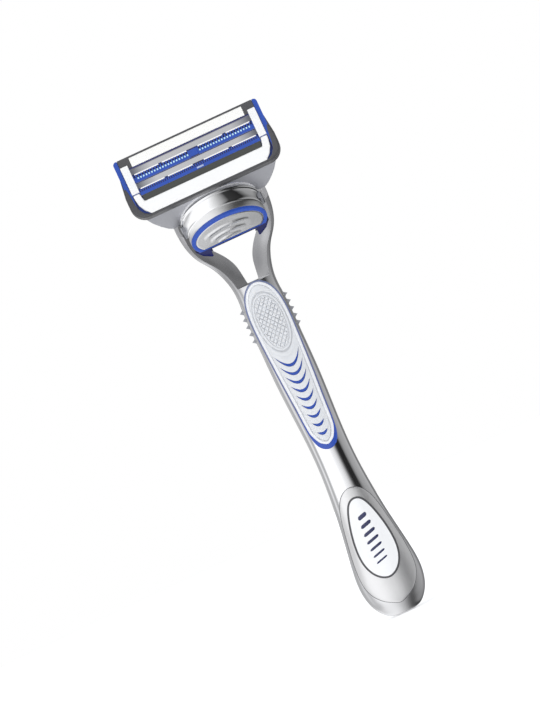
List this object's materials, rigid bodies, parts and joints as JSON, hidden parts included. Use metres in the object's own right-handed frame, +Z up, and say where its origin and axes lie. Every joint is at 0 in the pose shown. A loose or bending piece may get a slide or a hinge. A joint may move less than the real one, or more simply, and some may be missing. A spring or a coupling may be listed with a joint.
{
  "type": "cartridge razor",
  "caption": "Wet-shaving cartridge razor: forked metal handle with grip insert and release button, pivoting twin-blade cartridge on a yoke.",
  "frame": {"origin": "lowest point of the handle's round end, on the middle line of the section there", "axes": "+Z up the handle to the head, -Y is the front with the blades, button and grip, +X is the width, to the right seen from the front"},
  "size_m": [0.0422, 0.0248, 0.1379],
  "materials": {
    "handle_chrome": "polished plating",
    "hood_chrome": "mirror plating",
    "satin_metal": "satin",
    "silver_plastic": "satin silver",
    "blue_plastic": "gloss",
    "dock_blue": "gloss",
    "overlay_rubber": "soft satin",
    "grip_rubber": "soft satin",
    "dark_plastic": "matte",
    "dark_rubber": "matte",
    "white_gloss": "gloss",
    "white_plastic": "plain",
    "strip_white": "soft gloss",
    "cap_lube": "waxy",
    "blade_steel": "ground edge",
    "support_steel": "rolled",
    "clip_metal": "bright",
    "yoke_silver": "satin silver",
    "spring_steel": "drawn wire"
  },
  "bodies": {
    "handle": {"handle_frame": "handle_chrome", "rear_grip": "grip_rubber", "grip_base": "blue_plastic", "grip_overlay": "overlay_rubber", "end_plate": "satin_metal", "badge_ring": "dark_plastic", "badge": "white_gloss", "dock_hood": "hood_chrome", "dock_body": "dock_blue", "ejector_spring": "spring_steel", "plunger_spring": "spring_steel"},
    "button": {"button_cap": "satin_metal", "button_ring": "blue_plastic", "button_plate": "silver_plastic", "ejector": "blue_plastic"},
    "plunger": {"plunger": "white_plastic"},
    "yoke": {"yoke": "yoke_silver"},
    "cartridge": {"housing": "blue_plastic", "bumper": "dark_rubber", "front_strip": "strip_white", "guard_band": "dark_rubber", "cap_frame": "dark_plastic", "cap_strip": "cap_lube", "skin_guard": "blue_plastic", "clip_left": "clip_metal", "clip_right": "clip_metal"},
    "blade_front": {"blade_front": "blade_steel", "blade_front_support": "support_steel"},
    "blade_rear": {"blade_rear": "blade_steel", "blade_rear_support": "support_steel"}
  },
  "joints": [
    {"name": "cartridge_release", "type": "slide", "parent": "handle", "child": "yoke", "axis": [0, -0.6428, 0.766], "range_m": [0, 0.02]},
    {"name": "cartridge_pivot", "type": "hinge", "parent": "yoke", "child": "cartridge", "pos_m": [0, -0.01199, 0.12381], "axis": [-1, 0, 0], "range_deg": [0, 36], "stiffness_Nm_per_rad": 0.004, "springref_deg": -17.19},
    {"name": "button_slide", "type": "slide", "parent": "handle", "child": "button", "axis": [0, -0.6428, 0.766], "range_m": [0, 0.003], "stiffness_N_per_m": 80, "springref_m": -0.003, "deforming": ["ejector_spring"]},
    {"name": "plunger_slide", "type": "slide", "parent": "handle", "child": "plunger", "axis": [0, -0.6428, 0.766], "range_m": [-0.0014, 0], "deforming": ["plunger_spring"]},
    {"name": "blade_front_float", "type": "slide", "parent": "cartridge", "child": "blade_front", "axis": [0, 0.9816, -0.1908], "range_m": [0, 0.0003], "stiffness_N_per_m": 20, "springref_m": -0.001},
    {"name": "blade_rear_float", "type": "slide", "parent": "cartridge", "child": "blade_rear", "axis": [0, 0.9816, -0.1908], "range_m": [0, 0.0003], "stiffness_N_per_m": 20, "springref_m": -0.001}
  ],
  "couplings": [
    {"joint": "plunger_slide", "follows": "cartridge_pivot", "m_per_rad": -0.002037}
  ]
}
